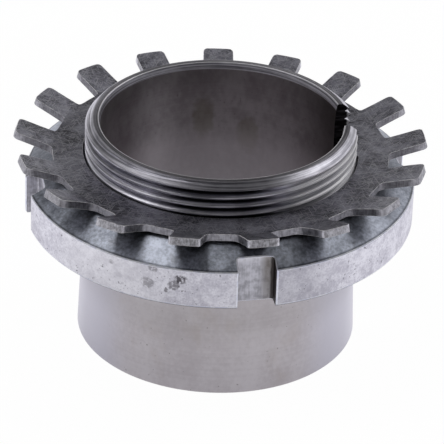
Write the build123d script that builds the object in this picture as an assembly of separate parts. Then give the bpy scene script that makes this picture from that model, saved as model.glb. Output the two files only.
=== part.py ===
from build123d import *
import math
import os

# Bearing adapter sleeve: a split tapered sleeve, a slotted round nut on its thread and a tabbed
# lock washer that lies on the nut. Everything stands on the sleeve's large end, with the bore
# along +Z, the origin at the bore's centre in the large end's face, and the slit on +X.
# All sizes are in millimetres and degrees.

# Sleeve
bore_diameter = 40.0
sleeve_length = 39.0
thread_wall = 2.65          # from the bore to the thread's crests
thread_pitch = 1.5
thread_length = 17.5
seat_step = 0.05            # small end of the taper above the thread's crests
taper_per_length = 1 / 12   # fall of the tapered seat's diameter
bore_chamfer = 0.45
seat_chamfer = 0.35
lead_chamfer = 1.35         # at the thread's free end, from the crests inwards
lead_height = 1.05          # and from the end down to the crests
slit_width = 7.5

# Lock nut
nut_wall = 9.85             # from the thread's crests to the outside
nut_width = 10.0
nut_face_land = 4.15        # flat face beyond the thread's crests
nut_face_angle = 30.0       # slope of the chamfer round the flat face
nut_edge_chamfer = 0.3
nut_bore_chamfer = 0.7
nut_slot_count = 4
nut_slot_width = 6.2
nut_slot_depth = 2.5
nut_slot_corner = 0.4
nut_turn = 4.0              # from the slit to the nearest slot
nut_standoff = 0.38         # from the thread's lower end to the nut
thread_clearance = 0.04     # radial, between the two thread cylinders

# Lock washer
washer_thickness = 1.25
washer_clearance = 0.3      # radial, round the thread's crests
washer_ring_width = 5.05
tab_count = 17
tab_width = 5.2
tab_length = 6.3            # along the sheet, from the ring's edge to the tip
tab_angle = 18.0
tab_bend_radius = 1.2       # inside the bend
tab_root_fillet = 1.0
tab_corner_radius = 0.8
tongue_side_gap = 0.75      # between the tongue and each side of the slit
tongue_bore_gap = 0.4       # how far the tongue stops short of the bore
tongue_root_fillet = 0.4
washer_turn = -1.0          # the washer's play in the slit, taken up to one side

# Radii and heights that follow from them
bore_radius = bore_diameter / 2
crest_radius = bore_radius + thread_wall
pitch_radius = crest_radius - 0.3248 * thread_pitch
thread_start = sleeve_length - thread_length
seat_small_radius = crest_radius + seat_step
seat_large_radius = seat_small_radius + thread_start * taper_per_length / 2
nut_bottom = thread_start + nut_standoff
washer_bottom = nut_bottom + nut_width


def turned(points):
    """A solid of revolution about +Z from (radius, height) points."""
    outline = Polyline(*points, close=True)
    return revolve(Plane.XZ * make_face(outline), Axis.Z)


def make_sleeve():
    """The split sleeve: tapered seat below, thread zone above, parallel bore through it."""
    foot_radius = seat_large_radius - seat_chamfer
    foot_side_radius = seat_large_radius - seat_chamfer * taper_per_length / 2
    lead_drop = (pitch_radius - (crest_radius - lead_chamfer)) * lead_height / lead_chamfer
    blank = turned(
        [
            (bore_radius, bore_chamfer),
            (bore_radius + bore_chamfer, 0),
            (foot_radius, 0),
            (foot_side_radius, seat_chamfer),
            (seat_small_radius, thread_start),
            (pitch_radius, thread_start),
            (pitch_radius, sleeve_length - lead_drop),
            (crest_radius - lead_chamfer, sleeve_length),
            (bore_radius + bore_chamfer, sleeve_length),
            (bore_radius, sleeve_length - bore_chamfer),
        ]
    )
    slit_reach = seat_large_radius + 1
    slit = Pos(slit_reach / 2, 0, sleeve_length / 2) * Box(slit_reach, slit_width, sleeve_length + 2)
    return blank - slit


def make_nut():
    """The round nut: bevelled face up, plain face down, spanner slots across its rim."""
    outside = crest_radius + nut_wall
    face_radius = crest_radius + nut_face_land
    hole = pitch_radius + thread_clearance
    top = nut_bottom + nut_width
    bevel_height = (outside - face_radius) * math.tan(math.radians(nut_face_angle))
    blank = turned(
        [
            (hole, nut_bottom + nut_bore_chamfer),
            (hole + nut_bore_chamfer, nut_bottom),
            (outside - nut_edge_chamfer, nut_bottom),
            (outside, nut_bottom + nut_edge_chamfer),
            (outside, top - bevel_height),
            (face_radius, top),
            (hole + nut_bore_chamfer, top),
            (hole, top - nut_bore_chamfer),
        ]
    )
    slot_floor = outside - nut_slot_depth
    slot_run = 2 * nut_slot_depth
    slot_shape = Pos(slot_floor + slot_run / 2, 0) * RectangleRounded(
        slot_run, nut_slot_width, nut_slot_corner
    )
    slot = Pos(0, 0, nut_bottom - 1) * extrude(slot_shape, nut_width + 2)
    for index in range(nut_slot_count):
        blank -= Rot(0, 0, nut_turn + index * 360 / nut_slot_count) * slot
    return blank


def at_radius(vertices, radius):
    """The corners of a flat outline that lie at one distance from its centre."""
    return [v for v in vertices if abs(math.hypot(v.X, v.Y) - radius) < 0.01]


def washer_sheet(tip_radius):
    """The washer's outline seen from above: ring, tabs and inner tongue."""
    hole_radius = crest_radius + washer_clearance
    ring_radius = hole_radius + washer_ring_width
    tab = Pos(tip_radius / 2, 0) * Rectangle(tip_radius + 2, tab_width)
    sheet = Sketch() + Circle(ring_radius)
    for index in range(tab_count):
        sheet += Rot(0, 0, index * 360 / tab_count) * tab
    sheet &= Circle(tip_radius)
    sheet = fillet(at_radius(sheet.vertices(), ring_radius), tab_root_fillet)
    sheet = fillet(at_radius(sheet.vertices(), tip_radius), tab_corner_radius)
    sheet -= Circle(hole_radius)
    tongue_width = slit_width - 2 * tongue_side_gap
    tongue_tip = bore_radius + tongue_bore_gap
    tongue_end = hole_radius + washer_ring_width / 2
    tongue = Pos((tongue_tip + tongue_end) / 2, 0) * Rectangle(tongue_end - tongue_tip, tongue_width)
    sheet += tongue
    return fillet(at_radius(sheet.vertices(), hole_radius), tongue_root_fillet)


def make_washer():
    """The lock washer: one sheet, its tabs bent up off the ring by the same angle."""
    hole_radius = crest_radius + washer_clearance
    ring_radius = hole_radius + washer_ring_width
    top = washer_bottom + washer_thickness
    angle = math.radians(tab_angle)
    middle_radius = tab_bend_radius + washer_thickness / 2
    straight = tab_length - middle_radius * angle
    run = Vector(math.cos(angle), math.sin(angle))
    across = Vector(-math.sin(angle), math.cos(angle))
    bend_centre = Vector(ring_radius, top + tab_bend_radius)
    inner_end = bend_centre - across * tab_bend_radius
    outer_end = bend_centre - across * (tab_bend_radius + washer_thickness)
    inner_tip = inner_end + run * straight
    outer_tip = outer_end + run * straight
    half_bend = math.radians(tab_angle / 2)
    inner_middle = bend_centre + Vector(math.sin(half_bend), -math.cos(half_bend)) * tab_bend_radius
    outer_middle = inner_middle + Vector(math.sin(half_bend), -math.cos(half_bend)) * washer_thickness
    start = bore_radius / 2
    section = [
        Line((start, top), (ring_radius, top)),
        ThreePointArc((ring_radius, top), inner_middle, inner_end),
        Line(inner_end, inner_tip),
        Line(inner_tip, outer_tip),
        Line(outer_tip, outer_end),
        ThreePointArc(outer_end, outer_middle, (ring_radius, washer_bottom)),
        Line((ring_radius, washer_bottom), (start, washer_bottom)),
        Line((start, washer_bottom), (start, top)),
    ]
    dish = revolve(Plane.XZ * make_face(section), Axis.Z)
    sheet = washer_sheet(outer_tip.X)
    cutter = Pos(0, 0, washer_bottom - 1) * extrude(sheet, inner_tip.Y - washer_bottom + 2)
    return Rot(0, 0, washer_turn) * (dish & cutter)


os.makedirs("parts", exist_ok=True)
export_step(make_sleeve(), "parts/adapter_sleeve.step")
export_step(make_nut(), "parts/lock_nut.step")
export_step(make_washer(), "parts/lock_washer.step")
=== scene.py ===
import math
from collections import namedtuple

import bmesh
import bpy
import numpy as np
from mathutils import Matrix, Vector


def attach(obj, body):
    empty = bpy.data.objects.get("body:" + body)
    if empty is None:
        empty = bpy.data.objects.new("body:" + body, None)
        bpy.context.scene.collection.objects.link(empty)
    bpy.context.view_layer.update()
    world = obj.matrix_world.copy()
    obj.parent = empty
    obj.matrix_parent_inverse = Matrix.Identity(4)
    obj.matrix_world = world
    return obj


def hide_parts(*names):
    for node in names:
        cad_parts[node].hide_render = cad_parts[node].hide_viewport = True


# Bearing adapter sleeve: a split tapered sleeve, a slotted round nut on its thread, and a tabbed
# lock washer lying on the nut. Sizes are in millimetres and angles in degrees until a mesh is made.
# The origin is the bore's centre in the large end's face, the bore runs along +Z, and the slit
# is on +X.

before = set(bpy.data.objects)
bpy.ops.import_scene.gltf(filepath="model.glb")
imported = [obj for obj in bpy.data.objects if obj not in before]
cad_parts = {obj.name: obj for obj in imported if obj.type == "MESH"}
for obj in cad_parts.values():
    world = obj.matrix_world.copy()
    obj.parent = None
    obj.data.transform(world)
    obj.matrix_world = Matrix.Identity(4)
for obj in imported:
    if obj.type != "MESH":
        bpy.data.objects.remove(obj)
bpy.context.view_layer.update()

MM = 0.001
FULL_TURN = 2 * math.pi
same_point = 0.002          # points closer together than this are one

# Sizes that the CAD has too
bore_radius = 20.0
sleeve_length = 39.0
thread_pitch = 1.5
thread_start = 21.5
seat_small_radius = 22.7
seat_large_radius = seat_small_radius + thread_start / 24
bore_chamfer = 0.45
seat_chamfer = 0.35
lead_edge_radius = 21.3     # where the lead chamfer meets the end face
lead_slope = 1.35 / 1.05    # growth of its radius for each millimetre down
slit_width = 7.5

nut_bottom = 21.88
nut_top = 31.88
nut_radius = 32.5
nut_face_radius = 26.8
nut_face_slope = math.tan(math.radians(30))
nut_edge_chamfer = 0.3
nut_bore_edge = 22.9        # where the bore's chamfer meets the nut's faces
nut_slot_count = 4
nut_slot_half = 3.1
nut_slot_floor = 30.0
nut_slot_corner = 0.4
nut_turn = 4.0              # from the slit to the nearest slot

washer_bottom = nut_top
washer_thickness = 1.25
washer_hole = 22.95
washer_rim = 28.0
tab_count = 17
tab_half = 2.6
tab_tip = 34.3
tab_bend_radius = 1.2
tab_root_fillet = 1.0
tab_corner = 0.8
tongue_half = 3.0
tongue_tip = 20.4
tongue_fillet = 0.4
washer_turn = -1.0          # the washer's play in the slit, taken up to one side

# What only the detailed pieces have
thread_phase = 35.45        # height of a crest's middle over the slit
crest_radius = 22.65
root_radius = 21.6
thread_top = 37.2           # above it the sleeve's rows of points lie level
edge_round = 0.16           # how far the nut's outer edges are rounded off
slot_lip_round = 0.3
tongue_corner = 0.3
bend_line = 27.85           # radius at which the tabs' bend starts

# Distance from a crest's middle along the axis, and the thread's radius there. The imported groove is
# as full of grease as the nut's thread leaves room for.
SLEEVE_THREAD = np.array([(0, crest_radius), (0.08, 22.64), (0.16, 22.59), (0.26, 22.48),
                          (0.38, 22.31), (0.50, 22.10), (0.62, 21.83), (0.69, 21.67),
                          (0.75, root_radius)])
PACKED_THREAD = np.array([(0, crest_radius), (0.05, crest_radius), (0.20, 22.56), (0.26, 22.48),
                          (0.55, 21.90), (0.62, 21.85), (0.75, 21.85)])
NUT_THREAD = np.array([(0, 22.75), (0.18, 22.75), (0.62, 21.9), (0.75, 21.9)])
packing_start = 280         # degrees round from the slit
packing_growth = 17         # degrees over which the grooves fill up
packing_rise = 0.8          # height above the nut over which they do


def thread_radius(profile, turn, height):
    """Radius of a thread at places round the axis (radians) and heights."""
    from_crest = height - thread_phase - thread_pitch * turn / FULL_TURN
    nearest = np.abs((from_crest + thread_pitch / 2) % thread_pitch - thread_pitch / 2)
    return np.interp(nearest, profile[:, 0], profile[:, 1])


def packing(turn, height):
    """How full of dried grease the grooves above the nut are: up to 1 in front of the slit."""
    share = np.clip((np.degrees(turn) - packing_start) / packing_growth, 0, 1)
    share = share * np.clip((height - nut_top) / packing_rise, 0, 1)
    return share ** 2 * (3 - 2 * share)


def thread_heights(profile, turn, low, high):
    """Rows of heights that climb with the thread, held between two flat limits."""
    offsets = np.unique(np.concatenate([-profile[:, 0], profile[1:-1, 0]]))
    first = math.floor((low - thread_phase) / thread_pitch) - 2
    last = math.ceil((high - thread_phase) / thread_pitch) + 1
    crests = thread_phase + thread_pitch * np.arange(first, last)
    rows = (crests[:, None] + offsets[None, :]).ravel()
    heights = rows[:, None] + thread_pitch * turn[None, :] / FULL_TURN
    return np.clip(heights, low, high)


def grid_faces(rows, columns, close_rows=False, close_columns=False):
    """Four-sided faces between neighbouring rows and columns."""
    faces = []
    for row in range(rows if close_rows else rows - 1):
        for column in range(columns if close_columns else columns - 1):
            next_row = (row + 1) % rows
            next_column = (column + 1) % columns
            faces.append((row * columns + column, row * columns + next_column,
                          next_row * columns + next_column, next_row * columns + column))
    return faces


def curve(start, corner, end, share):
    """A point on the short curve that rounds off a corner."""
    return (1 - share) ** 2 * start + 2 * share * (1 - share) * corner + share ** 2 * end


def turned(x, y, turn):
    """A point turned round the bore's axis."""
    c, s = math.cos(turn), math.sin(turn)
    return x * c - y * s, x * s + y * c


def round_the_bore(radius, turns):
    """Points seen from above at one radius and several places round the bore's axis."""
    return radius * np.stack([np.cos(turns), np.sin(turns)], axis=1)


def cylinder_points(radius, turn, height):
    """Points from radii, places round the axis and heights, which may be arrays of one shape."""
    radius, turn, height = np.broadcast_arrays(radius, turn, height)
    return np.stack([radius * np.cos(turn), radius * np.sin(turn), height], axis=-1)


def new_object(name, data):
    """An object in the scene that holds a mesh, a lamp or a camera."""
    made = bpy.data.objects.new(name, data)
    bpy.context.scene.collection.objects.link(made)
    return made


def new_piece(name, points, faces, finishes, finish_of, body, node_name, sharp=30):
    """Makes a mesh from points in millimetres, paints each face, and puts the piece in the frame.

    finish_of is a list with the finish of each face, or a function that picks it from the face's
    middle and normal.
    """
    mesh = bpy.data.meshes.new(name)
    mesh.from_pydata([tuple(p) for p in points], [], [tuple(f) for f in faces])
    if isinstance(finish_of, list):
        mesh.polygons.foreach_set("material_index", finish_of)
    shape = bmesh.new()
    shape.from_mesh(mesh)
    bmesh.ops.remove_doubles(shape, verts=shape.verts, dist=same_point)
    bmesh.ops.recalc_face_normals(shape, faces=shape.faces)
    for face in shape.faces:
        face.smooth = True
        if callable(finish_of):
            face.material_index = finish_of(face.calc_center_median(), face.normal)
    bmesh.ops.scale(shape, vec=(MM, MM, MM), verts=shape.verts)
    shape.to_mesh(mesh)
    shape.free()
    mesh.set_sharp_from_angle(angle=math.radians(sharp))
    for draw in finishes:
        mesh.materials.append(new_finish(draw))
    piece = new_object(name, mesh)
    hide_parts(node_name)
    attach(piece, body)
    return piece


# Sleeve

sleeve_columns = 288
end_row_step = 0.05
end_edge_out = 0.07         # how far out and down the free end's outer edge is worn off
end_edge_down = 0.054
lower_bore_row = 12         # heights of the only rows of points along the bore
upper_bore_row = 20
runout_start = thread_start + 0.1
runout_slope = 0.9

# The softened inner edge of the free end and the mouth of the bore, worn a little wider: how far
# outside the bore, and how far below the end
bore_mouth = [(0.6, 0), (0.48, 0.012), (0.41, 0.035), (0.36, 0.1), (0.12, 1.2), (0, 4)]


def softened(corners, size):
    """An outline of (radius, height) corners with each inner corner turned into a short curve."""
    corners = [np.array(c, float) for c in corners]
    points = [corners[0]]
    for before, corner, after in zip(corners, corners[1:], corners[2:]):
        start = corner + (before - corner) * size / np.linalg.norm(before - corner)
        end = corner + (after - corner) * size / np.linalg.norm(after - corner)
        points += [curve(start, corner, end, share) for share in (0, 0.5, 1)]
    points.append(corners[-1])
    return np.array(points)


def sleeve_grid():
    """Rows of points up the outside of the sleeve, over its end and down its bore."""
    share = np.linspace(0, 1, sleeve_columns)
    middle_edge = math.asin(slit_width / 2 / 22)
    turn = middle_edge + share * (FULL_TURN - 2 * middle_edge)
    radii, heights = [], []

    def add_rows(outline):
        for radius, height in outline:
            radii.append(np.full(sleeve_columns, radius))
            heights.append(np.full(sleeve_columns, height))

    add_rows(softened([
        (bore_radius, lower_bore_row), (bore_radius, bore_chamfer), (bore_radius + bore_chamfer, 0),
        (seat_large_radius - seat_chamfer, 0),
        (seat_large_radius - seat_chamfer / 24, seat_chamfer),
        (seat_small_radius, thread_start), (crest_radius, thread_start)], 0.06))
    rows = thread_heights(SLEEVE_THREAD, turn, thread_start + 0.01, thread_top)
    level_rows = np.arange(thread_top, sleeve_length - end_edge_out, end_row_step)
    rows = np.concatenate([rows, np.repeat(level_rows[:, None], sleeve_columns, axis=1)])
    for height in rows:
        cut = thread_radius(SLEEVE_THREAD, turn, height)
        cut += (thread_radius(PACKED_THREAD, turn, height) - cut) * packing(turn, height)
        runout = crest_radius - runout_slope * np.maximum(0, height - runout_start)
        chamfer = lead_edge_radius + lead_slope * (sleeve_length - height)
        radii.append(np.minimum(np.maximum(cut, runout), chamfer))
        heights.append(height)
    end = [(lead_edge_radius + end_edge_out, sleeve_length - end_edge_down),
           (lead_edge_radius, sleeve_length)]
    end += [(bore_radius + out, sleeve_length - down) for out, down in bore_mouth]
    add_rows(softened(end + [(bore_radius, upper_bore_row)], 0.03)[1:])
    radii, heights = np.array(radii), np.array(heights)
    edge = np.arcsin(slit_width / 2 / radii)
    return cylinder_points(radii, edge + share[None, :] * (FULL_TURN - 2 * edge), heights)


def make_sleeve(finishes):
    """The split sleeve, with finishes for its seat, thread, bore and the walls of the slit."""
    grid = sleeve_grid()
    rows, columns = grid.shape[:2]
    faces = grid_faces(rows, columns, close_rows=True)
    faces.append([row * columns for row in range(rows)])
    faces.append([row * columns + columns - 1 for row in range(rows)])

    def finish_of(centre, normal):
        radius = math.hypot(centre.x, centre.y)
        if centre.x > 15 and abs(abs(centre.y) - slit_width / 2) < 0.01 and abs(normal.y) > 0.99:
            return 3
        if radius < bore_radius + 0.2:
            return 2
        if centre.z < thread_start - 0.05:
            return 0
        return 1

    new_piece("split_taper_sleeve", grid.reshape(-1, 3), faces, finishes, finish_of,
              "sleeve", "adapter_sleeve")


# Nut

slot_steps = 11             # steps of the outline from a slot's middle to its mouth
lip_steps = 3
slot_wall_steps = (31.0, 31.6, 32.1)
rim_arc_start = 6.8         # degrees from a slot's middle to the plain rim
level_end = 1.1             # height at both ends of the bore over which its rows of points are level
nut_inner_ring = 28.0       # a ring of points across the underside
rim_row = 10                # the row of faces on the upright rim, and the rows of its rounded edges
edge_rows = range(6, 15)


def rim_outline():
    """The nut's outline from above with its slots, and its points' places round the face's edge."""
    floor = [(nut_slot_floor, y) for y in np.linspace(0, nut_slot_half - nut_slot_corner, 4)]
    corner = [(nut_slot_floor + nut_slot_corner * (1 - math.cos(a)),
               nut_slot_half - nut_slot_corner * (1 - math.sin(a)))
              for a in np.radians([22.5, 45, 67.5, 90])]
    wall = [(x, nut_slot_half) for x in slot_wall_steps]
    mouth_turn = math.asin(nut_slot_half / nut_radius)
    mouth = np.array((nut_radius * math.cos(mouth_turn), nut_slot_half))
    before = mouth - (slot_lip_round, 0)
    after = round_the_bore(nut_radius, [mouth_turn + slot_lip_round / nut_radius])[0]
    lip = [curve(before, mouth, after, share) for share in (0, 0.33, 0.67, 1)]
    arc = round_the_bore(nut_radius, np.radians(np.linspace(rim_arc_start, 45, 31)))
    half = np.array([*floor, *corner, *wall, *lip, *arc])
    ends = [0, len(floor) - 1, len(half) - len(arc) - 1, len(half) - 1]
    face_turn = np.radians(np.interp(np.arange(len(half)), ends, [0, 5.1, 9.0, 45.0]))
    quarter = np.concatenate([half[:0:-1] * (1, -1), half])[:-1]
    quarter_turn = np.concatenate([-face_turn[:0:-1], face_turn])[:-1]
    outline, turns = [], []
    for index in range(nut_slot_count):
        turn = math.radians(nut_turn) + index * FULL_TURN / nut_slot_count
        spin = np.array([(math.cos(turn), math.sin(turn)), (-math.sin(turn), math.cos(turn))])
        outline.append(quarter @ spin)
        turns.append(quarter_turn + turn)
    return np.concatenate(outline), np.concatenate(turns)


def make_nut(finishes):
    """The slotted nut, with finishes for its rim, its faces and thread, its slots and its edges."""
    outline, turns = rim_outline()
    count = len(outline)
    along = np.roll(outline, -1, axis=0) - np.roll(outline, 1, axis=0)
    outward = np.stack([along[:, 1], -along[:, 0]], axis=1) / np.linalg.norm(along, axis=1)[:, None]
    reach = np.linalg.norm(outline, axis=1)
    chamfer_radius = nut_radius - nut_edge_chamfer

    def ring(radius):
        return round_the_bore(radius, turns)

    def cone(plan):
        past_face = np.maximum(0, np.linalg.norm(plan, axis=1) - nut_face_radius)
        return nut_top - past_face * nut_face_slope

    def foot(plan):
        return nut_bottom + np.maximum(0, np.linalg.norm(plan, axis=1) - chamfer_radius)

    def rounded(surface, share, way):
        """A row round the outer edge, from the sloping surface (share 0) to the upright rim (1)."""
        inward = (1 - share) ** 2
        height = inward * surface(inset) + (1 - inward) * surface(outline)
        return outline - outward * edge_round * inward, height + way * share ** 2 * edge_round

    inset = outline - outward * edge_round
    face_edge = ring(nut_face_radius + 0.1)
    chamfer_share = np.maximum(0.03, (reach - chamfer_radius) / (reach - nut_face_radius))[:, None]
    chamfer_edge = outline + (face_edge - outline) * chamfer_share
    rows = [(ring(nut_bore_edge), nut_top), (ring(nut_face_radius - 0.1), nut_top),
            (face_edge, cone(face_edge))]
    for share in (0.25, 0.5, 0.75, 1.0):
        plan = face_edge + (inset - face_edge) * share
        rows.append((plan, cone(plan)))
    rows += [rounded(cone, share, -1) for share in (0.25, 0.5, 0.75, 1.0)]
    rows += [rounded(foot, share, 1) for share in (1.0, 0.75, 0.5, 0.25, 0.0)]
    rows += [(chamfer_edge, foot(chamfer_edge)), (ring(nut_inner_ring), nut_bottom),
             (ring(nut_bore_edge), nut_bottom)]
    outside = np.array([np.column_stack([plan, np.broadcast_to(height, count)])
                        for plan, height in rows])

    strip_turn = np.append(turns, turns[0] + FULL_TURN)
    end_rows = np.arange(0, level_end + 0.01, 0.1)
    inner = np.concatenate([
        np.repeat((nut_bottom + end_rows)[:, None], count + 1, axis=1),
        thread_heights(NUT_THREAD, strip_turn, nut_bottom + level_end, nut_top - level_end),
        np.repeat((nut_top - end_rows[::-1])[:, None], count + 1, axis=1)])
    from_face = np.minimum(inner - nut_bottom, nut_top - inner)
    inner_radius = thread_radius(NUT_THREAD, strip_turn[None, :], inner)
    inner_radius = np.maximum(inner_radius, nut_bore_edge - from_face)
    strip = cylinder_points(inner_radius, strip_turn[None, :], inner)

    faces = grid_faces(len(rows), count, close_columns=True)
    first = outside.shape[0] * count
    faces += [[first + corner for corner in face] for face in grid_faces(len(inner), count + 1)]
    points = np.concatenate([outside.reshape(-1, 3), strip.reshape(-1, 3)])

    quarter = count // nut_slot_count
    column = np.arange(count) % quarter
    from_slot = quarter // 2 - 1 - np.minimum(column, quarter - 1 - column)
    upright = [2 if steps < slot_steps else 3 if steps < slot_steps + lip_steps else 0
               for steps in from_slot]
    face_finishes = []
    for row in range(len(rows) - 1):
        face_finishes += upright if row == rim_row else [3 if row in edge_rows else 1] * count
    face_finishes += [1] * (len(faces) - len(face_finishes))
    new_piece("slotted_lock_nut", points, faces, finishes, face_finishes,
              "nut", "lock_nut")


# Washer

# Each tab from the tongue's round to the left, seen from above: its bend and twist in degrees, its
# length, and how far its tip stands to the side
TABS = [
    (16.7, -1.1, 6.6, 0.0), (17.2, -1.5, 6.3, 0.0), (15.6, -0.6, 6.1, 0.15), (14.6, 0.1, 6.15, 0.2),
    (14.7, 0.9, 6.3, 0.15), (16.3, 0.9, 6.3, 0.0), (19.3, 2.0, 6.35, 0.0), (20.2, 1.6, 6.45, 0.0),
    (20.0, 1.2, 6.7, 0.0), (20.0, 0.4, 6.35, -0.3), (21.1, 2.0, 6.4, -0.35), (21.4, 0.9, 6.4, -0.3),
    (21.5, 2.0, 6.4, 0.05), (21.4, 0.5, 6.4, 0.3), (19.3, -1.8, 6.4, 0.45), (17.0, -0.2, 6.4, 0.45),
    (16.0, 1.5, 6.5, 0.3),
]
tab_length = 6.3
tab_columns = 10
gap_columns = 8
highlight_corner = 0.26          # how wide the sheet's rounded corners are, which carry a painted highlight


def finger_rows(root, way, half, tip, fillet, corner):
    """Edge points of a tab (way 1) or the tongue (way -1), row by row from the ring to its tip."""
    centre = np.array([0, half + fillet])
    reach = root + way * fillet
    centre[0] = math.sqrt(reach ** 2 - centre[1] ** 2)
    towards = -way * centre / reach
    start = math.atan2(towards[1], towards[0])
    if start > 0 and way > 0:
        start -= FULL_TURN
    edge = [centre + fillet * np.array((math.cos(a), math.sin(a)))
            for a in np.linspace(start, -math.pi / 2, 5)]
    straight_end = tip - way * corner
    edge += [np.array((x, half)) for x in np.linspace(centre[0], straight_end, 8)[1:]]
    edge += [np.array((straight_end + way * corner * math.sin(a), half - corner * (1 - math.cos(a))))
             for a in np.radians([30, 60, 90])]
    return edge


def finger_points(edge):
    """Points across each row of a tab or the tongue, on arcs round the washer's centre."""
    share = np.linspace(-1, 1, tab_columns + 1)
    return [[(math.sqrt(x * x + y * y - (y * s) ** 2), y * s) for s in share] for x, y in edge]


def bend_tabs(points):
    """Bends every tab about a straight line across its root, by its own angle."""
    step = FULL_TURN / tab_count
    middle_radius = tab_bend_radius + washer_thickness / 2
    bent = []
    for x, y, above in points:
        index = round(math.atan2(y, x) / step)
        along, across = turned(x, y, -index * step)
        height = above
        past = along - bend_line
        if past > 0:
            bend, twist, length, shift = TABS[index % tab_count]
            angle = math.radians(bend)
            across += shift * min(1.0, past / 4)
            past *= 1 + (length / tab_length - 1) * min(1.0, past / 2)
            bent_part = min(past / middle_radius, angle)
            straight = max(0.0, past - middle_radius * angle)
            centre_height = tab_bend_radius + washer_thickness
            radius = centre_height - above
            along = bend_line + radius * math.sin(bent_part) + straight * math.cos(angle)
            height = centre_height - radius * math.cos(bent_part) + straight * math.sin(angle)
            height += math.radians(twist) * across * min(1.0, past / 3)
        bent.append((*turned(along, across, index * step), height))
    return bent


def make_washer(finishes):
    """The tabbed washer, with finishes for its top, its cut edges, their corners and its underside."""
    tab_edge = finger_rows(washer_rim, 1, tab_half, tab_tip, tab_root_fillet, tab_corner)
    tongue_edge = finger_rows(washer_hole, -1, tongue_half, tongue_tip, tongue_fillet, tongue_corner)
    tab = finger_points(tab_edge)
    tongue = finger_points(tongue_edge)
    step = FULL_TURN / tab_count
    root_turns = [math.atan2(y, x) for x, y in tab[0]]
    tongue_turns = [math.atan2(y, x) for x, y in tongue[0]]

    def spread(at_root, following_root):
        between = np.linspace(at_root[-1], step + following_root[0], gap_columns + 1)[1:-1]
        return list(at_root) + list(between)

    outer_turns, inner_turns = [], []
    for index in range(tab_count):
        outer_turns += [index * step + t for t in spread(root_turns, root_turns)]
        here = tongue_turns if index == 0 else root_turns
        after = tongue_turns if index == tab_count - 1 else root_turns
        inner_turns += [index * step + t for t in spread(here, after)]
    outer_turns, inner_turns = np.array(outer_turns), np.array(inner_turns)

    points, faces = [], []

    def add_grid(grid, close_columns=False):
        first = len(points)
        rows, columns = len(grid), len(grid[0])
        points.extend(tuple(p) for row in grid for p in row)
        new_faces = grid_faces(rows, columns, close_columns=close_columns)
        faces.extend([first + c for c in face] for face in new_faces)

    ring = []
    for share in np.linspace(0, 1, 7):
        turns = inner_turns + (outer_turns - inner_turns) * share
        radius = washer_hole + (washer_rim - washer_hole) * share
        ring.append(round_the_bore(radius, turns))
    add_grid(ring, close_columns=True)
    for index in range(tab_count):
        add_grid([[turned(x, y, index * step) for x, y in row] for row in tab])
    add_grid(tongue)

    shape = bmesh.new()
    corners = [shape.verts.new((x, y, 0)) for x, y in points]
    for face in faces:
        shape.faces.new([corners[c] for c in face])
    bmesh.ops.remove_doubles(shape, verts=shape.verts, dist=same_point)
    bmesh.ops.recalc_face_normals(shape, faces=shape.faces)
    shape.verts.index_update()
    flat = [(v.co.x, v.co.y) for v in shape.verts]
    flat_faces = [[v.index for v in face.verts] for face in shape.faces]
    shape.free()

    count = len(flat)
    directed = {(a, b) for face in flat_faces for a, b in zip(face, face[1:] + face[:1])}
    border = [(a, b) for a, b in directed if (b, a) not in directed]
    solid_points = [(x, y, 0.0) for x, y in flat] + [(x, y, washer_thickness) for x, y in flat]
    solid_faces = [face[::-1] for face in flat_faces]
    solid_faces += [[count + c for c in face] for face in flat_faces]
    solid_faces += [[a, b, count + b, count + a] for a, b in sorted(border)]
    placed = [(*turned(x, y, math.radians(washer_turn)), washer_bottom + z)
              for x, y, z in bend_tabs(solid_points)]

    face_finishes = [3] * len(flat_faces) + [0] * len(flat_faces) + [1] * len(border)
    piece = new_piece("tabbed_lock_washer", placed, solid_faces, finishes, face_finishes,
                      "washer", "lock_washer", sharp=40)
    edge = piece.modifiers.new("blanked_edges", "BEVEL")
    edge.width = highlight_corner * MM
    edge.segments = 3
    edge.limit_method = "ANGLE"
    edge.angle_limit = math.radians(40)
    edge.material = 2
    edge.harden_normals = True


# The photograph's own axes are turned from the part's by this much round the bore.
photo_turn = -7.8


def from_photo(x, y, z):
    """A point or direction given in the photograph's axes (x right, y away, z up), in the part's."""
    return Matrix.Rotation(math.radians(photo_turn), 3, "Z") @ Vector((x, y, z))


# Finishes

def linear(code):
    """An sRGB hex colour as the linear one that a shader takes."""
    parts = [int(code[i:i + 2], 16) / 255 for i in (1, 3, 5)]
    return tuple(c / 12.92 if c <= 0.04045 else ((c + 0.055) / 1.055) ** 2.4 for c in parts) + (1.0,)


def per(size):
    """Texture scale at which a pattern measures this many millimetres, in a space of metres."""
    return 1 / (size * MM)


def add(tree, kind, inputs=None, **settings):
    """Adds a node: its settings, then a value, an output or a node (its first output) for each input."""
    made = tree.nodes.new("ShaderNode" + kind)
    for name, value in settings.items():
        setattr(made, name, value)
    for name, value in (inputs or {}).items():
        if isinstance(value, bpy.types.Node):
            value = value.outputs[0]
        if isinstance(value, bpy.types.NodeSocket):
            tree.links.new(value, made.inputs[name])
        else:
            made.inputs[name].default_value = value
    return made


def new_finish(draw):
    """A material with the name of the function that draws its nodes."""
    finish = bpy.data.materials.new(draw.__name__)
    finish.use_nodes = True
    finish.node_tree.nodes.clear()
    draw(finish.node_tree)
    return finish


Place = namedtuple("Place", "point level reach height")


def part_place(tree):
    """Where a surface point is, its level offset and distance from the bore's axis, and its height."""
    point = add(tree, "TexCoord").outputs["Object"]
    parts = add(tree, "SeparateXYZ", {0: point})
    level = add(tree, "CombineXYZ", {0: parts.outputs["X"], 1: parts.outputs["Y"]})
    reach = add(tree, "VectorMath", {0: level}, operation="LENGTH").outputs["Value"]
    return Place(point, level, reach, parts.outputs["Z"])


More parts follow.
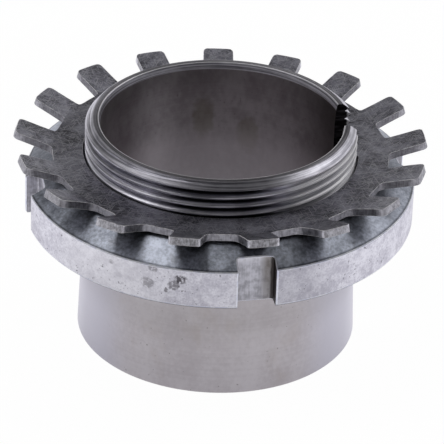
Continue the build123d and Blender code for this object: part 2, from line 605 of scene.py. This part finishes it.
def facing(tree, direction):
    """1 on the side that a level direction (right, away) in the photograph points to, down to -1."""
    level = add(tree, "VectorMath", {0: part_place(tree).level}, operation="NORMALIZE")
    return add(tree, "VectorMath", {0: level, 1: from_photo(*direction, 0)},
               operation="DOT_PRODUCT").outputs["Value"]


def side(tree, direction, low, high):
    """Only the side that a level direction points to, from one closeness to it to another."""
    return only(tree, facing(tree, direction), low, high)


def turning_lines(tree, spacing, drift=0.02):
    """Tool marks round the bore, this many millimetres apart on flat faces and cylinders alike."""
    place = part_place(tree)
    step = weigh(tree, [(place.reach, 1.3)], place.height)
    slow = add(tree, "VectorMath", {0: place.point, 1: (drift, drift, 0)}, operation="MULTIPLY")
    fast = add(tree, "CombineXYZ", {2: step})
    where = add(tree, "VectorMath", {0: slow, 1: fast}, operation="ADD")
    return add(tree, "TexNoise", {"Vector": where, "Scale": per(spacing), "Detail": 3.0, "Roughness": 0.6})


def from_place(tree, place, size, turn=0.0):
    """How far a surface point is from a place, as a share of one size or of one along each axis."""
    return add(tree, "Mapping", {"Vector": part_place(tree).point, "Location": [c * MM for c in place],
                                 "Rotation": (0, 0, math.radians(turn)),
                                 "Scale": [s * MM for s in np.broadcast_to(size, 3)]},
               vector_type="TEXTURE")


def marks(tree, size, turn=0.0, detail=3.0, offset=0.0):
    """Cloudy marks of one size in millimetres, or one along each axis, turned about the bore's axis."""
    where = from_place(tree, (offset, offset, 0), size, turn)
    return add(tree, "TexNoise", {"Vector": where, "Scale": 1.0, "Detail": detail, "Roughness": 0.55})


def only(tree, pattern, low, high):
    """The part of a pattern from one of its levels to another, spread from 0 to 1."""
    return add(tree, "MapRange", {"Value": pattern, "From Min": low, "From Max": high},
               interpolation_type="SMOOTHSTEP")


def tint(tree, share, first, second):
    """One colour turning into another; each is a hex code or an output."""
    first = linear(first) if isinstance(first, str) else first
    second = linear(second) if isinstance(second, str) else second
    return add(tree, "Mix", {0: share, 6: first, 7: second}, data_type="RGBA").outputs[2]


def weigh(tree, patterns, start=0.0):
    """The sum of patterns, each with its share, on top of a starting value."""
    total = start
    for pattern, share in patterns:
        total = add(tree, "Math", {0: pattern, 1: share, 2: total}, operation="MULTIPLY_ADD")
    return total


def both(tree, first, second):
    """Where two patterns are at once."""
    return add(tree, "Math", {0: first, 1: second}, operation="MULTIPLY")


def flanks(tree):
    """1 on the left and the right of the photograph, down to 0 in front and behind."""
    return add(tree, "Math", {0: facing(tree, (1, 0))}, operation="ABSOLUTE")


def layer(tree, colour, shade, *patterns):
    """A colour with a shade laid over it, where patterns, each with its share, say how strongly."""
    return tint(tree, weigh(tree, patterns), colour, shade)


def stain(tree, centre, size, ragged=0.5, grain=1.0):
    """A ragged patch round a place, of a size in millimetres each way: 1 inside it and 0 outside."""
    where = from_place(tree, centre, size)
    apart = add(tree, "VectorMath", {0: where}, operation="LENGTH").outputs["Value"]
    edge = marks(tree, grain, offset=centre[0])
    return only(tree, weigh(tree, [(edge, 2 * ragged), (apart, 1.0)], -ragged), 1.0, 0.6)


def steel(tree, colour, rough, relief, depth, anisotropic=0.0, metal=1.0):
    """Bare or oiled steel with a relief this many millimetres deep, its grain running round the bore."""
    bump = add(tree, "Bump", {"Height": relief, "Distance": depth * MM})
    around = add(tree, "Tangent", direction_type="RADIAL", axis="Z")
    made = add(tree, "BsdfPrincipled", {"Base Color": colour, "Metallic": metal, "Roughness": rough,
                                        "Anisotropic": anisotropic, "Normal": bump, "Tangent": around})
    add(tree, "OutputMaterial", {"Surface": made})


def ground_taper_steel(tree):
    """Cylindrically ground seat: a smooth warm grey with faint rings and a soft sheen round it."""
    # A grinding wheel leaves lines some 0.05 mm apart; 0.5 mm is what still shows.
    rings = turning_lines(tree, 0.5, 0.005)
    clouds = marks(tree, (6, 6, 9))
    mottle = marks(tree, (0.7, 0.7, 0.8), offset=42)
    tone = weigh(tree, [(rings, 0.2), (mottle, 0.3), (clouds, 0.5)])
    colour = tint(tree, only(tree, tone, 0.36, 0.64), "#c5bfc2", "#d5d0d3")
    film = only(tree, marks(tree, (5, 5, 7), offset=31), 0.52, 0.72)
    colour = layer(tree, colour, "#b3a69a", (film, 0.22))
    specks = only(tree, marks(tree, (0.55, 0.55, 0.65), detail=1.0, offset=3), 0.735, 0.785)
    colour = layer(tree, colour, "#6b6560", (specks, 0.55))
    # Painted reflection: the seat is made lighter towards its left and right.
    painted_side_reflection = flanks(tree)
    colour = layer(tree, colour, "#cac8d2", (only(tree, painted_side_reflection, 0.55, 0.85), 0.9))
    colour = layer(tree, colour, "#d6d4dd", (only(tree, painted_side_reflection, 0.92, 1.0), 0.9))
    # Painted shadow of the nut: the upper part of the seat is made darker.
    painted_nut_shadow = only(tree, part_place(tree).height, 8 * MM, 15 * MM)
    colour = layer(tree, colour, "#85817f", (painted_nut_shadow, 0.25))
    rough = weigh(tree, [(rings, 0.06), (clouds, 0.05)], 0.29)
    steel(tree, colour, rough, rings, 0.002, 0.45)


def turned_thread_painted_light_steel(tree):
    """Turned thread and end: fine tool lines, painted shade and highlights, and painted light on packed
    grease.
    """
    place = part_place(tree)
    # The tool leaves lines some 0.1 mm apart; 0.24 mm is what still shows.
    rings = turning_lines(tree, 0.24, 0.01)
    clouds = marks(tree, (2.5, 2.5, 1.5))
    tone = weigh(tree, [(rings, 1.0), (clouds, 0.2)])
    colour = tint(tree, only(tree, tone, 0.42, 0.76), "#84838c", "#eeecf6")
    below_end = weigh(tree, [(place.height, -1.0)], sleeve_length * MM)
    cone = weigh(tree, [(below_end, lead_slope)], lead_edge_radius * MM)
    skin = add(tree, "Math", {0: cone, 1: crest_radius * MM}, operation="MINIMUM")
    depth = weigh(tree, [(place.reach, -1.0)], skin)
    on_side = only(tree, below_end, 0.02 * MM, 0.1 * MM)
    groove = both(tree, only(tree, depth, 0.04 * MM, 0.75 * MM), on_side)
    # Painted shade: the grooves on the side facing the camera are laid near black.
    oil = both(tree, groove, side(tree, painted_shade_side, 0.87, 0.98))
    colour = layer(tree, colour, "#1b1a1c", (oil, 0.9))
    # Painted shade over the top of the end in front.
    front = both(tree, side(tree, painted_shade_side, 0.80, 0.97), only(tree, below_end, 1.25 * MM, 0.95 * MM))
    colour = layer(tree, colour, "#3a383c", (front, 0.5))
    flat_end = only(tree, below_end, 0.1 * MM, 0.02 * MM)
    colour = layer(tree, colour, "#5a5658", (flat_end, 0.5))
    # Painted highlight along the inner edge of the end face.
    painted_glint = both(tree, only(tree, place.reach, 20.60 * MM, 20.48 * MM), flat_end)
    colour = layer(tree, colour, "#f6f4f8", (painted_glint, 0.9))
    # Painted light: above the nut on the other side, the grease in the filled grooves is laid pale and
    # half matt, and the crests get painted highlights.
    packed_zone = both(tree, side(tree, packed_side, 0.82, 0.92), on_side)
    above_nut = only(tree, place.height, nut_top * MM, (nut_top + packing_rise) * MM)
    packed_zone = both(tree, packed_zone, above_nut)
    grease_and_painted_light = both(tree, packed_zone, only(tree, depth, 0.10 * MM, 0.16 * MM))
    painted_crest_glint = both(tree, packed_zone, only(tree, depth, 0.16 * MM, 0.10 * MM))
    painted_crest_glint = both(tree, painted_crest_glint, only(tree, below_end, 0.95 * MM, 1.15 * MM))
    crest = both(tree, only(tree, depth, 0.07 * MM, 0.02 * MM), on_side)
    streaks = only(tree, turning_lines(tree, 0.55, 0.012), 0.52, 0.62)
    grease = tint(tree, streaks, "#b3b1b8", "#fdfcff")
    colour = layer(tree, colour, grease, (grease_and_painted_light, 0.9))
    colour = layer(tree, colour, "#fdfcff", (painted_crest_glint, 0.9))
    rough = weigh(tree, [(rings, 0.16), (groove, 0.12), (flat_end, 0.06)], 0.22)
    metal = weigh(tree, [(grease_and_painted_light, -0.8), (painted_glint, -0.5), (crest, -0.2), (painted_crest_glint, -0.8)], 1.0)
    steel(tree, colour, rough, rings, 0.014, weigh(tree, [(flat_end, 0.65)], 0.2), metal)


def sawn_slit_painted_shade_steel(tree):
    """Sawn walls of the slit, painted nearly black as the shade inside it, with painted glints at the
    thread.
    """
    saw = marks(tree, (3.0, 3.0, 0.4), offset=18)
    colour = tint(tree, only(tree, saw, 0.42, 0.68), "#1c1a1b", "#4a474a")
    place = part_place(tree)
    # Painted glints on the cut ends of the thread, above the nut.
    painted_slit_glints = both(tree, only(tree, place.reach, 21.85 * MM, 22.15 * MM),
                only(tree, place.height, 30 * MM, 31 * MM))
    painted_slit_glints = both(tree, painted_slit_glints, only(tree, marks(tree, (0.9, 0.9, 0.6), offset=62), 0.38, 0.56))
    colour = layer(tree, colour, "#f2f1f5", (painted_slit_glints, 0.9))
    rough = weigh(tree, [(saw, 0.2)], 0.40)
    steel(tree, colour, rough, saw, 0.02, 0.0, weigh(tree, [(painted_slit_glints, -0.7)], 1.0))


def oily_reamed_bore_steel(tree):
    """Fine bored hole: a grey oil film over faint rings, with olive-brown runs of old oil."""
    # A reamer's rings are some 0.05 mm apart; 0.4 mm is what still shows.
    rings = turning_lines(tree, 0.4, 0.005)
    clouds = marks(tree, (4, 4, 6), offset=5)
    mottle = marks(tree, (1.0, 1.0, 1.3), offset=12)
    tone = weigh(tree, [(clouds, 0.5), (mottle, 0.35), (rings, 0.15)])
    colour = tint(tree, only(tree, tone, 0.38, 0.62), "#a19a9d", "#b9b3b6")
    # Painted shade that dims a band of reflected light on the left-hand back wall.
    painted_curtain_shade = side(tree, (-0.75, 0.66), 0.90, 1.0)
    colour = layer(tree, colour, "#6a6668", (painted_curtain_shade, 0.25))
    for centre, size in oil_runs:
        run = stain(tree, centre, size, 0.45, 1.4)
        colour = layer(tree, colour, "#7d7660", (run, 0.45))
    specks = only(tree, marks(tree, (0.45, 0.45, 0.5), detail=1.0, offset=33), 0.70, 0.76)
    colour = layer(tree, colour, "#5d5650", (specks, 0.35))
    # Painted shade: the right-hand wall is made darker, and a little of the left-hand one.
    right = side(tree, (1, -0.1), 0.50, 0.95)
    colour = layer(tree, colour, "#57524f", (right, 0.75))
    left = side(tree, (-1, 0), 0.80, 1.0)
    colour = layer(tree, colour, "#565a60", (left, 0.2))
    # Painted light low down in the bore; higher up it turns darker towards the top.
    lower = only(tree, part_place(tree).height, 29 * MM, 22 * MM)
    colour = layer(tree, colour, "#ddd6da", (lower, 0.55))
    upper = only(tree, part_place(tree).height, 30 * MM, 37 * MM)
    colour = layer(tree, colour, "#6a6668", (upper, 0.25))
    rough = weigh(tree, [(clouds, 0.10), (rings, 0.06)], 0.33)
    steel(tree, colour, rough, rings, 0.003)


def blasted_rim_steel(tree):
    """Bead-blasted rim: a pale lilac grey with fine grit, cloudy handling marks, pits and rust."""
    # 0.1 mm beads leave dimples too fine to show, so the grit is drawn at 0.35 mm.
    grit = marks(tree, 0.35, detail=1.0)
    mottle = marks(tree, 1.2, offset=3)
    clouds = marks(tree, (4, 4, 3), offset=9)
    tone = weigh(tree, [(grit, 0.3), (mottle, 0.35), (clouds, 0.4)])
    colour = tint(tree, only(tree, tone, 0.40, 0.66), "#cac8d2", "#f3f2f9")
    # Lighter towards the front left, and darker towards the front right.
    front_left_lighter = side(tree, (-0.56, -0.83), 0.92, 1.0)
    colour = layer(tree, colour, "#fdfcff", (front_left_lighter, 0.4))
    front_right_darker = side(tree, (0.34, -0.94), 0.955, 1.0)
    colour = layer(tree, colour, "#8f8d97", (front_right_darker, 0.3))
    handled = only(tree, marks(tree, (1.7, 1.7, 1.3), detail=5.0, offset=21), 0.56, 0.70)
    colour = layer(tree, colour, "#8f8d97", (handled, 0.18))
    pits = only(tree, marks(tree, 0.55, detail=1.0, offset=17), 0.66, 0.74)
    pitted = only(tree, marks(tree, (4, 4, 3), offset=50), 0.44, 0.58)
    pits = both(tree, pits, pitted)
    colour = layer(tree, colour, "#5c5961", (pits, 0.7))
    specks = only(tree, marks(tree, 0.4, detail=1.0, offset=83), 0.735, 0.775)
    colour = layer(tree, colour, "#4c4950", (specks, 0.75))
    speckle = only(tree, marks(tree, 0.5, detail=2.0, offset=8), 0.30, 0.52)
    for centre, size, share in rust_spots:
        spot = both(tree, stain(tree, centre, size, 0.5, 0.8), speckle)
        colour = layer(tree, colour, "#4a454b", (spot, share))
    rough = weigh(tree, [(grit, 0.15), (mottle, 0.12)], 0.33)
    relief = weigh(tree, [(grit, 0.8), (mottle, 0.6), (pits, -0.6)])
    steel(tree, colour, rough, relief, 0.025)


def milled_slot_steel(tree):
    """Milled spanner slots: grey with upright cutter marks, brown oil, and darker in one corner."""
    place = part_place(tree)
    parts = add(tree, "SeparateXYZ", {0: place.point})
    # Each slot's own turn from its middle is what is left of the turn after whole quarters.
    turn = add(tree, "Math", {0: parts.outputs["Y"], 1: parts.outputs["X"]}, operation="ARCTAN2")
    turn = weigh(tree, [(turn, 1.0)], -math.radians(nut_turn))
    half_quarter = math.pi / nut_slot_count
    turn = add(tree, "Math", {0: turn, 1: half_quarter, 2: -half_quarter}, operation="WRAP")
    across = both(tree, place.reach, add(tree, "Math", {0: turn}, operation="SINE"))
    # The cutter's teeth leave lines some 0.1 mm apart, drawn at 0.3 mm to show.
    upright = marks(tree, (0.3, 0.3, 3.5), offset=4)
    mottle = marks(tree, 1.3, detail=5.0, offset=14)
    tone = weigh(tree, [(upright, 0.3), (mottle, 0.7)])
    colour = tint(tree, only(tree, tone, 0.36, 0.62), "#9f9ea4", "#d2d1d9")
    edge = weigh(tree, [(mottle, 1.6 * MM), (across, 1.0)], -0.8 * MM)
    film = both(tree, only(tree, edge, 0.5 * MM, 2.1 * MM),
                only(tree, place.height, 14 * MM, 29 * MM))
    lit_top = only(tree, place.height, 28.9 * MM, 29.9 * MM)
    colour = layer(tree, colour, "#fbfaff", (lit_top, 0.4))
    in_front = side(tree, (0, -1), 0.5, 0.8)
    colour = layer(tree, colour, "#6a6050", (both(tree, film, in_front), 0.62))
    # Darker in one corner of the front slot, along its +side wall.
    edge = weigh(tree, [(mottle, 0.5 * MM), (across, 1.0)])
    front_slot_side_dark = only(tree, edge, 2.65 * MM, 3.05 * MM)
    colour = layer(tree, colour, "#2b2725", (both(tree, front_slot_side_dark, in_front), 0.88))
    rough = weigh(tree, [(mottle, 0.2), (upright, 0.1)], 0.28)
    steel(tree, colour, rough, tone, 0.03)


def turned_nut_face_steel(tree):
    """Turned faces of the nut: cool grey, clouded by handling and oil over faint rings."""
    # A facing cut's rings are some 0.15 mm apart; 0.3 mm is what still shows.
    rings = turning_lines(tree, 0.3, 0.01)
    clouds = marks(tree, 2.2, detail=4.0, offset=6)
    mottle = marks(tree, 0.5, offset=26)
    tone = weigh(tree, [(rings, 0.12), (clouds, 0.45), (mottle, 0.45)])
    colour = tint(tree, only(tree, tone, 0.36, 0.68), "#8b8f9a", "#d3d8e6")
    film = only(tree, marks(tree, 5, offset=70), 0.58, 0.72)
    colour = layer(tree, colour, "#74706a", (film, 0.3))
    # Painted shade on the right and left sides of the face.
    right = side(tree, (1, -0.1), 0.78, 0.95)
    left = side(tree, (-1, 0), 0.93, 0.99)
    colour = layer(tree, colour, "#474b56", (right, 0.4), (left, 0.5))
    # Painted dark reflection in a thin ring at the outer edge.
    outermost = only(tree, part_place(tree).reach, 31.95 * MM, 32.2 * MM)
    colour = layer(tree, colour, "#1f2025", (outermost, 0.6))
    rough = weigh(tree, [(clouds, 0.14), (mottle, 0.14), (rings, 0.06)], 0.25)
    steel(tree, colour, rough, weigh(tree, [(rings, 0.4), (mottle, 0.9)]), 0.014, 0.1)


def nut_edge_painted_highlight_steel(tree):
    """The nut's edges, painted bright as a highlight."""
    # The level edges are drawn as a matt white: a painted highlight.
    normal = add(tree, "NewGeometry").outputs["Normal"]
    upward = add(tree, "SeparateXYZ", {0: normal}).outputs["Z"]
    level = add(tree, "Math", {0: upward}, operation="ABSOLUTE")
    nicks = marks(tree, 1.2, offset=2)
    painted_glint = only(tree, nicks, 0.35, 0.6)
    colour = tint(tree, painted_glint, "#dee0f0", "#f7f8ff")
    metal = weigh(tree, [(only(tree, level, 0.15, 0.5), -0.85)], 1.0)
    rough = weigh(tree, [(nicks, 0.15)], 0.32)
    steel(tree, colour, rough, nicks, 0.01, 0.0, metal)


def dark_oiled_sheet_steel(tree):
    """Cold-rolled sheet under a dark oil film: mottled grey with fine scuffs from many directions."""
    # Rolled grain is some 0.05 mm across and a scuff 0.05 mm wide; both are drawn coarser to show.
    grain = marks(tree, 0.4, detail=2.0)
    mottle = marks(tree, 1.8, offset=11)
    clouds = marks(tree, (6, 6, 3), offset=19)
    tone = weigh(tree, [(grain, 0.3), (mottle, 0.35), (clouds, 0.5)])
    colour = tint(tree, only(tree, tone, 0.40, 0.74), "#56555c", "#adacb8")
    for centre, size in dark_patches:
        colour = layer(tree, colour, "#29282b", (stain(tree, centre, size, 0.5, 2.0), 0.42))
    scuffs = 0.0
    for turn, offset in ((12, 33), (64, 44), (-38, 55), (101, 66), (-8, 77), (33, 88)):
        hair = only(tree, marks(tree, (2.6, 0.16, 2.6), turn, 1.0, offset), 0.62, 0.70)
        scuffs = add(tree, "Math", {0: hair, 1: scuffs}, operation="MAXIMUM")
    colour = layer(tree, colour, "#d6d5dc", (scuffs, 0.6))
    rough = weigh(tree, [(mottle, 0.16), (grain, 0.14), (scuffs, -0.06)], 0.32)
    steel(tree, colour, rough, weigh(tree, [(grain, 0.5), (mottle, 0.5), (scuffs, -0.4)]), 0.02)


def underside_painted_shade_steel(tree):
    """The washer's underside, painted nearly black as shade, with painted light towards the tab tips."""
    mottle = marks(tree, 2.0, offset=15)
    colour = tint(tree, only(tree, mottle, 0.40, 0.65), "#0f0e10", "#252327")
    # Painted light: lighter towards the tips of the tabs.
    tips = only(tree, part_place(tree).reach, 28.5 * MM, 33.5 * MM)
    colour = layer(tree, colour, "#b9b8c2", (tips, 0.35))
    rough = weigh(tree, [(mottle, 0.2)], 0.40)
    steel(tree, colour, rough, mottle, 0.02)


def sheared_sheet_edge_steel(tree):
    """Blanked edges of the sheet: torn grey metal with short upright shear lines."""
    # Shear lines lie some 0.1 mm apart and are drawn at 0.25 mm to show.
    shear = marks(tree, (0.25, 0.25, 1.6), offset=7)
    mottle = marks(tree, (0.8, 0.8, 0.5), offset=27)
    tone = weigh(tree, [(shear, 0.5), (mottle, 0.5)])
    colour = tint(tree, only(tree, tone, 0.36, 0.62), "#a6a4aa", "#e8e7ee")
    # Painted shade: darker on the tabs' sides and the ring's edge between them, and towards the left and
    # right.
    sides = only(tree, part_place(tree).reach, 33.3 * MM, 32.3 * MM)
    colour = layer(tree, colour, "#3d3b40", (sides, 0.5))
    colour = layer(tree, colour, "#3d3b40", (only(tree, flanks(tree), 0.45, 0.75), 0.42))
    rough = weigh(tree, [(tone, 0.25)], 0.30)
    steel(tree, colour, rough, tone, 0.05)


def sheet_edge_painted_highlight_steel(tree):
    """The sheet's rounded corners, painted bright as a highlight."""
    glint_mottle = marks(tree, 0.9, offset=13)
    painted_glint = only(tree, glint_mottle, 0.36, 0.58)
    colour = tint(tree, painted_glint, "#b2b0b7", "#fefdff")
    rough = weigh(tree, [(glint_mottle, 0.2)], 0.34)
    metal = weigh(tree, [(painted_glint, -0.3)], 0.35)
    steel(tree, colour, rough, glint_mottle, 0.03, 0.0, metal)


# The sides of the thread, as (right, away) in the photograph: on one, painted shade darkens its grooves
# and end, and on the other, dried grease packs the grooves and carries painted light.
painted_shade_side = (-0.0043, -0.9998)
packed_side = (0.8740, -0.4859)

# Middle and half size of the darker patches on top of the washer
dark_patches = [((-20.7, -14.8, 33.1), (5.5, 5.5, 3)), ((12.8, -22.0, 33.1), (5.0, 4.0, 3)),
                ((-31.0, 10.0, 34.0), (5.0, 5.0, 4))]

# Middle and half size of the oil runs down the bore
oil_runs = [((-0.6, 20.0, 28.6), (2.3, 3.0, 4.6)), ((7.2, 18.7, 25.4), (2.4, 2.4, 4.0))]

# Middle, half size and share of the rust marks on the nut's rim
rust_spots = [((-10.0, -30.9, 26.8), (1.3, 1.3, 1.0), 0.9), ((-11.0, -30.6, 25.7), (1.3, 1.3, 1.1), 0.65),
              ((-15.0, -28.8, 25.3), (1.5, 1.5, 1.2), 0.5), ((-12.2, -30.1, 24.6), (0.4, 0.4, 0.5), 0.65),
              ((-14.2, -29.2, 28.2), (0.9, 0.9, 0.8), 0.5), ((-20.5, -25.2, 27.3), (0.6, 0.6, 0.5), 0.25)]

make_sleeve([ground_taper_steel, turned_thread_painted_light_steel, oily_reamed_bore_steel,
             sawn_slit_painted_shade_steel])
make_nut([blasted_rim_steel, turned_nut_face_steel, milled_slot_steel, nut_edge_painted_highlight_steel])
make_washer([dark_oiled_sheet_steel, sheared_sheet_edge_steel, sheet_edge_painted_highlight_steel,
             underside_painted_shade_steel])


# Studio

camera_height = math.radians(30.02)
camera_distance = 556.4
camera_roll = 0.0336
aim_x = 0.613
aim_z = 19.24
picture_width = 444
focal_pixels = 3300
sensor_width = 36

# How bright the metal sees the paper, a painted shade by place: in front, behind, close by, farther off,
# and inside the bore
floor_front = 0.38
floor_back = 0.88
floor_near = 0.07
floor_far = 0.34
floor_in_bore = 0.28


def make_camera():
    """A long lens at the photograph's height and turn, aimed at the part's middle."""
    data = bpy.data.cameras.new("camera")
    data.sensor_width = sensor_width
    data.sensor_fit = "HORIZONTAL"
    data.lens = data.sensor_width * focal_pixels / picture_width
    data.clip_start = 0.01
    data.clip_end = 20
    camera = new_object("camera", data)
    place = from_photo(aim_x, -camera_distance * math.cos(camera_height),
                       aim_z + camera_distance * math.sin(camera_height)) * MM
    forward = from_photo(0, math.cos(camera_height), -math.sin(camera_height))
    level = from_photo(1, 0, 0)
    rise = level.cross(forward)
    right = level * math.cos(camera_roll) + rise * math.sin(camera_roll)
    up = rise * math.cos(camera_roll) - level * math.sin(camera_roll)
    matrix = Matrix((right, up, -forward)).transposed().to_4x4()
    matrix.translation = place
    camera.matrix_world = matrix
    bpy.context.scene.camera = camera


def softbox(name, direction, distance, width, height, radiance):
    """A soft lamp that faces the part, as bright as a white surface of this radiance."""
    data = bpy.data.lights.new(name, "AREA")
    data.shape = "RECTANGLE"
    data.size = width
    data.size_y = height
    # Blender spreads a lamp's power over four times its area.
    data.energy = radiance * 4 * width * height
    lamp = new_object(name, data)
    towards = from_photo(*direction).normalized()
    lamp.location = towards * distance + Vector((0, 0, 0.02))
    lamp.rotation_mode = "QUATERNION"
    lamp.rotation_quaternion = towards.to_track_quat("Z", "Y")


def white_studio_paper(tree):
    """Matt white paper: white to the camera; to the metal, painted shade by place over the part's own
    shadow.
    """
    rays = add(tree, "LightPath")
    reach = part_place(tree).reach
    behind = side(tree, (0.08, 1), -1.05, 0.25)
    farther = only(tree, reach, 60 * MM, 76 * MM)
    nearer = only(tree, reach, 60 * MM, 24 * MM)
    shade = weigh(tree, [(behind, floor_back - floor_front), (farther, floor_far),
                         (nearer, floor_near)], floor_front)
    under = only(tree, reach, 21.5 * MM, 19 * MM)
    shade = add(tree, "Math", {0: shade, 1: under}, operation="MAXIMUM")
    glossy_share = both(tree, rays.outputs["Is Glossy Ray"], shade)
    strength = weigh(tree, [(under, floor_in_bore - 1)], 1.0)
    camera_share = both(tree, rays.outputs["Is Camera Ray"], 0.96)
    paper = add(tree, "BsdfDiffuse", {"Color": linear("#f4f4f4")})
    cool = add(tree, "Emission", {"Color": linear("#fafaff"), "Strength": strength})
    white = add(tree, "Emission", {"Color": linear("#ffffff"), "Strength": 1.02})
    seen = add(tree, "MixShader", {0: glossy_share, 1: paper, 2: cool})
    seen = add(tree, "MixShader", {0: camera_share, 1: seen, 2: white})
    add(tree, "OutputMaterial", {"Surface": seen})


def make_floor():
    """A wide sheet of paper just under the part."""
    mesh = bpy.data.meshes.new("paper")
    half = 3.0
    corners = [(-half, -half, 0), (half, -half, 0), (half, half, 0), (-half, half, 0)]
    mesh.from_pydata(corners, [], [(0, 1, 2, 3)])
    mesh.materials.append(new_finish(white_studio_paper))
    floor = new_object("paper", mesh)
    floor.location.z = -0.00002


def make_world():
    """A studio with a white sweep low down behind the part, dim above and round the camera."""
    world = bpy.data.worlds.new("studio")
    bpy.context.scene.world = world
    world.use_nodes = True
    tree = world.node_tree
    tree.nodes.clear()
    where = add(tree, "Mapping", {"Vector": add(tree, "TexCoord").outputs["Generated"],
                                  "Rotation": (0, 0, math.radians(-photo_turn))})
    parts = add(tree, "SeparateXYZ", {0: where})
    behind = weigh(tree, [(only(tree, parts.outputs["Y"], -0.55, 0.25), 0.75)], 0.25)
    low_down = weigh(tree, [(only(tree, parts.outputs["Z"], 0.0, 0.48), -0.96)], 1.0)
    light = weigh(tree, [(both(tree, behind, low_down), 0.92)], 0.08)
    seen = add(tree, "LightPath").outputs["Is Camera Ray"]
    strength = add(tree, "Math", {0: seen, 1: light}, operation="MAXIMUM")
    background = add(tree, "Background", {"Color": linear("#ffffff"), "Strength": strength})
    add(tree, "OutputWorld", {"Surface": background})


make_camera()
make_floor()
make_world()
# Each lamp's name, direction in the photograph, distance, width, height and radiance, in metres
softbox("softbox_top_left", (-0.33, 0.10, 0.94), 0.6, 0.27, 0.27, 1.9)
softbox("softbox_right", (0.70, 0.38, 0.60), 0.7, 0.50, 0.50, 1.15)
softbox("softbox_left", (-0.76, -0.20, 0.62), 0.7, 0.30, 0.30, 1.5)
bpy.context.scene.view_settings.view_transform = "Standard"
